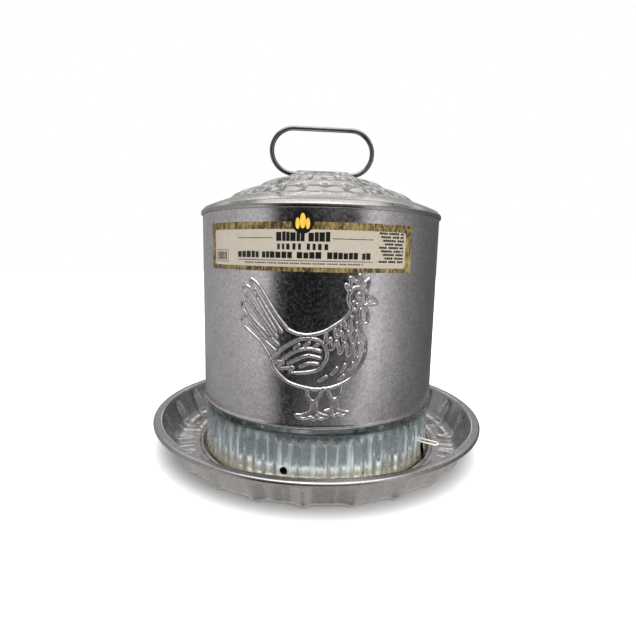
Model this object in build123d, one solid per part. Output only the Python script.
"""Double-wall poultry drinker in galvanised sheet: a fluted drinking pan carries an open inner tank,
and a closed outer cover drops over the tank and seals it from the air.

Millimetres, +Z up. The origin is the centre of the pan's underside, and -Y is the front.
Angles round the vertical axis run from +X towards +Y, so the front is -90 degrees.
"""

import math
import os

from build123d import *

# Sheet and wire stock
SHEET = 0.6
PAN_SHEET = 0.7
HANDLE_WIRE = 4.6
PAN_RIM_WIRE = 3.0
TANK_RIM_WIRE = 2.4
LEVER_WIRE = 1.8

# Drinking pan
PAN_R = 166.0
PAN_RIM_Z = 32.4
PAN_WALL_TOP_R = 159.6
PAN_WALL_FOOT_R = 146.0
PAN_PANEL_R = 107.5
PAN_PANEL_Z = 3.75
BEAD_R = 120.6
BEAD_HALF = 2.0
BEAD_HIGH = 2.3

# Inner tank
TANK_R = 106.0
TANK_TOP_Z = 224.0
TANK_FLOOR_Z = 6.0
OUTLET_R = 5.0
OUTLET_Z = 30.0
SEAM_ANGLE = 90.0
SEAM_WIDE = 7.0

# Outer cover
DRUM_R = 116.5
DRUM_FOOT_Z = 51.0
DRUM_TOP_Z = 228.9
RIM_R = 118.0
RIM_FOOT_Z = 226.9
RIM_TOP_Z = 230.6
PLATEAU_Z = 269.0
PLATEAU_R = 32.5
SKIRT_LAP = 7.0
SKIRT_FOOT_Z = 1.0

# Openings in the skirt
PORT_ANGLE = -103.4
PORT_Z = 12.8
PORT_R = 3.4
NOTCH_ANGLE = -26.0
NOTCH_WIDE = 11.0
NOTCH_TOP_Z = 16.6
NOTCH_CORNER_R = 1.5

# Valve on the tank wall, in a frame turned to NOTCH_ANGLE with X outwards
PIVOT_X = 110.6
PIVOT_Z = 17.6
PIN_R = 1.0
PIN_FIT = 0.05
OPEN_ANGLE = 8.0
FINGER_TIP_X = 131.0
FINGER_TIP_Z = 14.5
FINGER_GAP = 7.0
BRACKET_SHEET = 0.8
BRACKET_HIGH = 10.0
EAR_Y = 7.05
EAR_HIGH = 6.4
RIVET_Y = 10.0
RIVET_R = 0.9

# Carrying handle and its saddle
HANDLE_ANGLE = 5.5
HANDLE_WIDE = 100.2
HANDLE_HIGH = 43.3
BAR_GAP = 0.1
SADDLE_LONG = 50.0
SADDLE_HALF = 14.0
SADDLE_SHEET = 0.8

# Label on the cover
LABEL_FROM = -143.5
LABEL_TO = -50.0
LABEL_LOW_Z = 178.5
LABEL_HIGH_Z = 216.5
LABEL_THICK = 0.2
LABEL_TAB_R = 8.0
LABEL_TAB_Z = 217.2

BAR_Z = PLATEAU_Z + BAR_GAP + HANDLE_WIRE / 2
LEG_Y = FINGER_GAP / 2
ARM_Y = LEG_Y + LEVER_WIRE + 0.05
PLUG_NECK_R = ARM_Y - LEVER_WIRE / 2 - 0.03


def half_plane_wire(edges):
    """One wire from edges drawn in the XZ half plane, where X is the radius."""
    return Wire(list(edges))


def bent_line(points, radius):
    """A polyline through (radius, height) points with every corner rounded."""
    return FilletPolyline(*[(r, 0, z) for r, z in points], radius=radius).edges()


def arc_round(centre, radius, start, turn):
    """An arc about a (radius, height) centre, starting at an angle and turning by another."""
    def point(angle):
        a = math.radians(angle)
        return (centre[0] + radius * math.cos(a), 0, centre[1] + radius * math.sin(a))

    return ThreePointArc(point(start), point(start + turn / 2), point(start + turn))


def spun_sheet(wire, thickness):
    """A sheet of even thickness, centred on a wire in the XZ half plane, spun round the Z axis."""
    flat = Plane.XZ.to_local_coords(wire)
    outline = flat.offset_2d(thickness / 2, kind=Kind.ARC, side=Side.BOTH, closed=True)
    return revolve(Plane.XZ * make_face(outline), Axis.Z)


def spun_ring(points):
    """A solid ring from a closed outline of (radius, height) points."""
    outline = Polyline(*[(r, 0, z) for r, z in points], close=True)
    return revolve(make_face(outline), Axis.Z)


def spun_wire(radius, height, diameter):
    """A round wire bent into a hoop."""
    return Pos(0, 0, height) * Torus(radius, diameter / 2)


def wall_band(inner, outer, low, high, start, end):
    """A piece of cylindrical wall between two radii, two heights and two angles."""
    corners = [(inner, low), (outer, low), (outer, high), (inner, high)]
    section = make_face(Polyline(*[(r, 0, z) for r, z in corners], close=True))
    return Rot(0, 0, start) * revolve(section, Axis.Z, end - start)


def upright_cylinder(radius, low, high):
    """A solid cylinder about the Z axis between two heights."""
    return Pos(0, 0, (low + high) / 2) * Cylinder(radius, high - low)


def radial_rod(angle, height, radius, start, end):
    """A rod that points outwards at an angle, from one distance to another."""
    rod = Pos((start + end) / 2, 0, height) * Rot(0, 90, 0) * Cylinder(radius, end - start)
    return Rot(0, 0, angle) * rod


# ---------------------------------------------------------------- base

def make_pan():
    """Round pan: raised middle panel, centring bead, sloped wall and a rim curled over a wire."""
    half = PAN_SHEET / 2
    panel, floor = PAN_PANEL_Z - half, half
    curl_r = (PAN_RIM_WIRE + PAN_SHEET) / 2 + 0.1
    curl = (PAN_R - half - curl_r, PAN_RIM_Z - half - curl_r)
    lower = [
        (0, panel),
        (PAN_PANEL_R, panel),
        (PAN_PANEL_R + 3.5, floor),
        (BEAD_R - BEAD_HALF, floor),
        (BEAD_R - BEAD_HALF / 2, floor + BEAD_HIGH),
        (BEAD_R + BEAD_HALF / 2, floor + BEAD_HIGH),
        (BEAD_R + BEAD_HALF, floor),
        (PAN_WALL_FOOT_R - 3.2, floor),
        (PAN_WALL_FOOT_R + 0.6, floor + 4.2),
        (PAN_WALL_TOP_R, PAN_RIM_Z - half - 2.6),
        (PAN_WALL_TOP_R + 1.3, PAN_RIM_Z - half),
        (curl[0], PAN_RIM_Z - half),
    ]
    rim = arc_round(curl, curl_r, 90, -250)
    return spun_sheet(half_plane_wire([*bent_line(lower, 0.8), *rim.edges()]), PAN_SHEET)


def make_pan_rim_wire():
    """Stiffening wire inside the pan's rim."""
    inset = PAN_SHEET + PAN_RIM_WIRE / 2 + 0.1
    return spun_wire(PAN_R - inset, PAN_RIM_Z - inset, PAN_RIM_WIRE)


def tank_curl():
    """Centre and radius of the middle of the tank's curled rim."""
    curl_r = (TANK_RIM_WIRE + SHEET) / 2 + 0.1
    return (TANK_R - SHEET / 2 + curl_r, TANK_TOP_Z - SHEET / 2 - curl_r), curl_r


def make_tank_wall():
    """Open cylinder with its top curled outwards over a wire, a folded side seam and the outlet."""
    centre, curl_r = tank_curl()
    middle_r = TANK_R - SHEET / 2
    side = Line((middle_r, 0, PAN_PANEL_Z), (middle_r, 0, centre[1]))
    rim = arc_round(centre, curl_r, 180, -250)
    wall = spun_sheet(half_plane_wire([*side.edges(), *rim.edges()]), SHEET)
    wall -= upright_cylinder(TANK_R + 1, PAN_PANEL_Z - 2, PAN_PANEL_Z)
    half_seam = math.degrees(SEAM_WIDE / 2 / TANK_R)
    seam = wall_band(
        TANK_R - 2 * SHEET, TANK_R - SHEET / 2, TANK_FLOOR_Z + 3, TANK_TOP_Z - 8,
        SEAM_ANGLE - half_seam, SEAM_ANGLE + half_seam,
    )
    outlet = radial_rod(NOTCH_ANGLE, OUTLET_Z, OUTLET_R, TANK_R - 6, TANK_R + 6)
    return rivet_holes(wall + seam - outlet)


def make_tank_rim_wire():
    """Stiffening wire inside the tank's rim."""
    centre, _ = tank_curl()
    return spun_wire(centre[0], centre[1], TANK_RIM_WIRE)


def make_tank_floor():
    """Disc with a flange turned down inside the tank wall."""
    disc_r = TANK_R - SHEET - SHEET / 2
    disc_z = TANK_FLOOR_Z + SHEET / 2
    line = bent_line([(0, disc_z), (disc_r, disc_z), (disc_r, PAN_PANEL_Z)], 0.5)
    foot = upright_cylinder(TANK_R, PAN_PANEL_Z - 2, PAN_PANEL_Z)
    return spun_sheet(half_plane_wire(line), SHEET) - foot


def make_tank_floor_solder():
    """Solder fillet round the corner of the tank's floor and wall."""
    corner_r, corner_z = TANK_R - SHEET, TANK_FLOOR_Z + SHEET
    return spun_ring([(corner_r, corner_z), (corner_r - 2, corner_z), (corner_r, corner_z + 2)])


def make_tank_foot_solder():
    """Solder fillet that fixes the foot of the tank to the pan's raised panel."""
    return spun_ring([(TANK_R, PAN_PANEL_Z), (TANK_R + 1.2, PAN_PANEL_Z), (TANK_R, PAN_PANEL_Z + 1.6)])


def rivet_angles():
    """Angles of the two rivets that hold the lever's bracket."""
    aside = math.degrees(math.asin(RIVET_Y / TANK_R))
    return (NOTCH_ANGLE - aside, NOTCH_ANGLE + aside)


def bracket_low_high():
    """Heights of the bracket plate's lower and upper edges."""
    return PIVOT_Z - BRACKET_HIGH / 2, PIVOT_Z + BRACKET_HIGH / 2


def rivet_holes(shape):
    """The shape with the two rivet holes drilled in it."""
    for angle in rivet_angles():
        shape -= radial_rod(angle, PIVOT_Z, RIVET_R, TANK_R - 3, TANK_R + 3)
    return shape


def make_lever_bracket():
    """Curved plate on the tank wall whose two ears carry the lever's pin."""
    half_plate = math.degrees((RIVET_Y + 2.2) / TANK_R)
    start, end = NOTCH_ANGLE - half_plate, NOTCH_ANGLE + half_plate
    plate = wall_band(TANK_R, TANK_R + BRACKET_SHEET, *bracket_low_high(), start, end)
    ear_long = 6.0
    ear_x = TANK_R + 0.2 + ear_long / 2
    ears = [Pos(ear_x, side * EAR_Y, PIVOT_Z) * Box(ear_long, BRACKET_SHEET, EAR_HIGH) for side in (-1, 1)]
    pin_hole = Pos(PIVOT_X, 0, PIVOT_Z) * Rot(90, 0, 0) * Cylinder(PIN_R, 30)
    return rivet_holes(plate + Rot(0, 0, NOTCH_ANGLE) * (ears[0] + ears[1] - pin_hole))


def make_bracket_rivets():
    """Two flat-headed rivets through the bracket and the tank wall."""
    head_long, tail_long = 0.8, 0.7
    middle = (Align.CENTER, Align.CENTER)
    rivets = []
    for angle in rivet_angles():
        shank = radial_rod(angle, PIVOT_Z, RIVET_R, TANK_R - SHEET - 0.5, TANK_R + BRACKET_SHEET + 0.5)
        head = Pos(TANK_R + BRACKET_SHEET, 0, PIVOT_Z) * Rot(0, 90, 0)
        head *= Cylinder(1.7, head_long, align=(*middle, Align.MIN))
        tail = Pos(TANK_R - SHEET, 0, PIVOT_Z) * Rot(0, 90, 0)
        tail *= Cylinder(1.5, tail_long, align=(*middle, Align.MAX))
        walls = wall_band(TANK_R - SHEET, TANK_R + BRACKET_SHEET, *bracket_low_high(), angle - 4, angle + 4)
        rivets.append(shank + Rot(0, 0, angle) * (head + tail) - rivet_holes(walls))
    return Compound(children=rivets)


def make_lever_pin():
    """Headed pin that the lever's coils turn on."""
    reach = EAR_Y + BRACKET_SHEET / 2
    shank = Pos(PIVOT_X, 0.25, PIVOT_Z) * Rot(90, 0, 0) * Cylinder(PIN_R, 2 * reach + 0.5)
    head = Pos(PIVOT_X, -reach - 0.4, PIVOT_Z) * Rot(90, 0, 0) * Cylinder(1.6, 0.8)
    return Rot(0, 0, NOTCH_ANGLE) * (shank + head)


# --------------------------------------------------------------- valve

def coil_radius():
    """Distance of the lever's arms and finger from the middle of its pin."""
    return PIN_R + PIN_FIT + LEVER_WIRE / 2 + 0.1


def swung_open(shape):
    """A valve piece drawn shut in the turned frame, swung open about the pin."""
    pivot = Pos(PIVOT_X, 0, PIVOT_Z)
    return pivot * Rot(0, OPEN_ANGLE, 0) * Pos(-PIVOT_X, 0, -PIVOT_Z) * shape


def bent_rod(points, radius, diameter):
    """A piece of wire along straight runs joined by arcs."""
    path = FilletPolyline(*points, radius=radius)
    start, ahead = Vector(*points[0]), Vector(*points[1])
    return sweep(Plane(origin=start, z_dir=ahead - start) * Circle(diameter / 2), path=path)


def make_valve_lever():
    """Spring wire: a coil on each side turns on the pin, two arms hold the stopper, one hairpin is the finger."""
    coil_r = coil_radius()
    arm_x = PIVOT_X - coil_r
    arm_top = OUTLET_Z + PLUG_NECK_R + LEVER_WIRE / 2 + 0.05
    root, tip = (PIVOT_X, PIVOT_Z - coil_r), (FINGER_TIP_X - LEVER_WIRE / 2, FINGER_TIP_Z)
    corners = [(*root, LEG_Y), (*tip, LEG_Y), (*tip, -LEG_Y), (*root, -LEG_Y)]
    lever = bent_rod([(x, y, z) for x, z, y in corners], LEG_Y - 0.1, LEVER_WIRE)
    coil_wide = ARM_Y - LEG_Y + LEVER_WIRE + 0.2
    for side in (-1, 1):
        arm_y = side * ARM_Y
        corners = [(arm_x, arm_y, PIVOT_Z), (arm_x, arm_y, arm_top), (arm_x, side * 1.1, arm_top)]
        lever += swung_open(bent_rod(corners, 1.4, LEVER_WIRE))
        coil_y = side * (ARM_Y + LEG_Y) / 2
        lever += Pos(PIVOT_X, coil_y, PIVOT_Z) * Rot(90, 0, 0) * Cylinder(coil_r + 1.05, coil_wide)
    bore = Pos(PIVOT_X, 0, PIVOT_Z) * Rot(90, 0, 0) * Cylinder(PIN_R + PIN_FIT, 30)
    return Rot(0, 0, NOTCH_ANGLE) * (lever - bore)


def make_valve_plug():
    """Rubber stopper with a nose for the outlet, a sealing flange, and a neck and knob for the arms."""
    seal_x = TANK_R + 0.3
    flange_x = seal_x + 1.2
    knob_x = PIVOT_X - coil_radius() + LEVER_WIRE / 2 + 0.2
    outline = [
        (0, seal_x - 2.6),
        (3.4, seal_x - 2.6),
        (4.3, seal_x),
        (6.6, seal_x),
        (6.6, flange_x),
        (PLUG_NECK_R, flange_x),
        (PLUG_NECK_R, knob_x),
        (5.4, knob_x),
        (5.0, knob_x + 1.4),
        (0, knob_x + 1.4),
    ]
    shape = revolve(make_face(Polyline(*[(x, r, 0) for r, x in outline], close=True)), Axis.X)
    return Rot(0, 0, NOTCH_ANGLE) * swung_open(Pos(0, 0, OUTLET_Z) * shape)


# --------------------------------------------------------------- cover

def make_drum_shell():
    """Straight cylinder with a folded side seam and a small flange for the dome's seam."""
    middle_r = DRUM_R - SHEET / 2
    line = Polyline(
        (middle_r, 0, DRUM_FOOT_Z),
        (middle_r, 0, DRUM_TOP_Z - SHEET / 2),
        (DRUM_R + 0.3, 0, DRUM_TOP_Z - SHEET / 2),
    )
    shell = spun_sheet(half_plane_wire(line.edges()), SHEET)
    shell -= upright_cylinder(DRUM_R + 5, DRUM_FOOT_Z - 3, DRUM_FOOT_Z)
    half_seam = math.degrees(SEAM_WIDE / 2 / DRUM_R)
    seam = wall_band(
        DRUM_R - SHEET / 2, DRUM_R + 2 * SHEET, DRUM_FOOT_Z, RIM_FOOT_Z - 0.2,
        SEAM_ANGLE - half_seam, SEAM_ANGLE + half_seam,
    )
    return shell + seam


def make_skirt():
    """Lower wall of the cover: laps inside the drum, necks in, and has the port and the notch."""
    lap_r = DRUM_R - SHEET - 0.05 - SHEET / 2
    points = [
        (lap_r, DRUM_FOOT_Z + SKIRT_LAP),
        (lap_r, DRUM_FOOT_Z - 1.5),
        (113.4, DRUM_FOOT_Z - 6.5),
        (114.9, DRUM_FOOT_Z - 18),
        (115.0, 9),
        (116.0, SKIRT_FOOT_Z),
    ]
    skirt = spun_sheet(half_plane_wire(bent_line(points, 2.5)), SHEET)
    skirt -= upright_cylinder(DRUM_R + 5, SKIRT_FOOT_Z - 3, SKIRT_FOOT_Z)
    port = radial_rod(PORT_ANGLE, PORT_Z, PORT_R, 100, 130)
    notch_low = SKIRT_FOOT_Z - 4
    notch = Pos(115, 0, (NOTCH_TOP_Z + notch_low) / 2) * Box(30, NOTCH_WIDE, NOTCH_TOP_Z - notch_low)
    notch = fillet(notch.edges().filter_by(Axis.X).group_by(Axis.Z)[-1], NOTCH_CORNER_R)
    return skirt - port - Rot(0, 0, NOTCH_ANGLE) * notch


def make_skirt_solder():
    """Solder fillet that closes the lap between drum and skirt."""
    lap_r = DRUM_R - SHEET
    return spun_ring(
        [(lap_r, DRUM_FOOT_Z), (DRUM_R, DRUM_FOOT_Z), (lap_r, DRUM_FOOT_Z - 0.8)]
    )


def dome_line():
    """Outer line of the dome from its middle to its rim: a stepped cone under a flat plateau."""
    return [
        (0, PLATEAU_Z),
        (PLATEAU_R, PLATEAU_Z),
        (37.5, 266.6),
        (58.5, 259.4),
        (64.0, 256.2),
        (86.5, 246.8),
        (92.5, 242.9),
        (107.0, 236.6),
        (113.0, 234.2),
        (RIM_R - 1.0, RIM_TOP_Z),
    ]


def make_dome():
    """Pressed top whose rim hooks round the drum's flange."""
    half = SHEET / 2
    outer = RIM_R - half
    line = [(r, z - half) for r, z in dome_line()]
    line += [
        (outer, RIM_TOP_Z - 1.0),
        (outer, RIM_FOOT_Z + half),
        (DRUM_R + 0.35, RIM_FOOT_Z + half),
    ]
    return spun_sheet(half_plane_wire(bent_line(line, 0.35)), SHEET)


def make_dome_sealant():
    """Sealing compound pressed into the seam between the drum's flange and the dome."""
    return spun_ring(
        [
            (DRUM_R - 0.4, DRUM_TOP_Z),
            (DRUM_R + 0.6, DRUM_TOP_Z),
            (DRUM_R + 0.6, DRUM_TOP_Z + 0.6),
            (DRUM_R - 0.4, DRUM_TOP_Z + 0.9),
        ]
    )


def make_handle_saddle():
    """Pressed strap over the handle's lower bar, welded to the plateau by its two flanges."""
    inner = HANDLE_WIRE / 2 + 0.07
    outer = inner + SADDLE_SHEET
    arch = Pos(0, 0, BAR_Z) * Rot(0, 90, 0) * Cylinder(outer, SADDLE_LONG)
    walls_high = BAR_Z - PLATEAU_Z
    walls = Pos(0, 0, PLATEAU_Z + walls_high / 2) * Box(SADDLE_LONG, 2 * outer, walls_high)
    flange = Pos(0, 0, PLATEAU_Z + SADDLE_SHEET / 2) * Box(SADDLE_LONG, 2 * SADDLE_HALF, SADDLE_SHEET)
    tunnel = Pos(0, 0, BAR_Z) * Rot(0, 90, 0) * Cylinder(inner, SADDLE_LONG + 10)
    tunnel += Pos(0, 0, BAR_Z - 10) * Box(SADDLE_LONG + 10, 2 * inner, 20)
    under = Pos(0, 0, PLATEAU_Z - 10) * Box(100, 100, 20)
    flange = fillet(flange.edges().filter_by(Axis.Z), 4)
    strap = arch + walls + flange
    return Rot(0, 0, HANDLE_ANGLE) * (strap - tunnel - under)


def make_handle():
    """Closed oval of wire that stands on its lower bar."""
    end_r = HANDLE_HIGH / 2
    straight = HANDLE_WIDE - HANDLE_HIGH
    left, right = -straight / 2, straight / 2
    low, high = BAR_Z, BAR_Z + HANDLE_HIGH
    middle = (low + high) / 2
    path = Wire(
        [
            Line((left, 0, low), (right, 0, low)).edge(),
            ThreePointArc((right, 0, low), (right + end_r, 0, middle), (right, 0, high)).edge(),
            Line((right, 0, high), (left, 0, high)).edge(),
            ThreePointArc((left, 0, high), (left - end_r, 0, middle), (left, 0, low)).edge(),
        ]
    )
    section = Plane(origin=(left, 0, low), z_dir=(1, 0, 0)) * Circle(HANDLE_WIRE / 2)
    return Rot(0, 0, HANDLE_ANGLE) * sweep(section, path=path)


def make_label():
    """Printed sticker round the front of the drum, with a round tab above its middle."""
    outer = DRUM_R + LABEL_THICK
    band = wall_band(DRUM_R, outer, LABEL_LOW_Z, LABEL_HIGH_Z, LABEL_FROM, LABEL_TO)
    middle = (LABEL_FROM + LABEL_TO) / 2
    ring = wall_band(DRUM_R, outer, LABEL_LOW_Z, RIM_FOOT_Z - 1, LABEL_FROM, LABEL_TO)
    tab = ring & radial_rod(middle, LABEL_TAB_Z, LABEL_TAB_R, 100, 130)
    return band + tab


PIECES = {
    "pan": make_pan,
    "pan_rim_wire": make_pan_rim_wire,
    "tank_wall": make_tank_wall,
    "tank_rim_wire": make_tank_rim_wire,
    "tank_floor": make_tank_floor,
    "tank_floor_solder": make_tank_floor_solder,
    "tank_foot_solder": make_tank_foot_solder,
    "lever_bracket": make_lever_bracket,
    "bracket_rivets": make_bracket_rivets,
    "lever_pin": make_lever_pin,
    "valve_lever": make_valve_lever,
    "valve_plug": make_valve_plug,
    "drum_shell": make_drum_shell,
    "skirt": make_skirt,
    "skirt_solder": make_skirt_solder,
    "dome": make_dome,
    "dome_sealant": make_dome_sealant,
    "handle_saddle": make_handle_saddle,
    "handle": make_handle,
    "label": make_label,
}

os.makedirs("parts", exist_ok=True)
for name, make in PIECES.items():
    export_step(make(), f"parts/{name}.step")
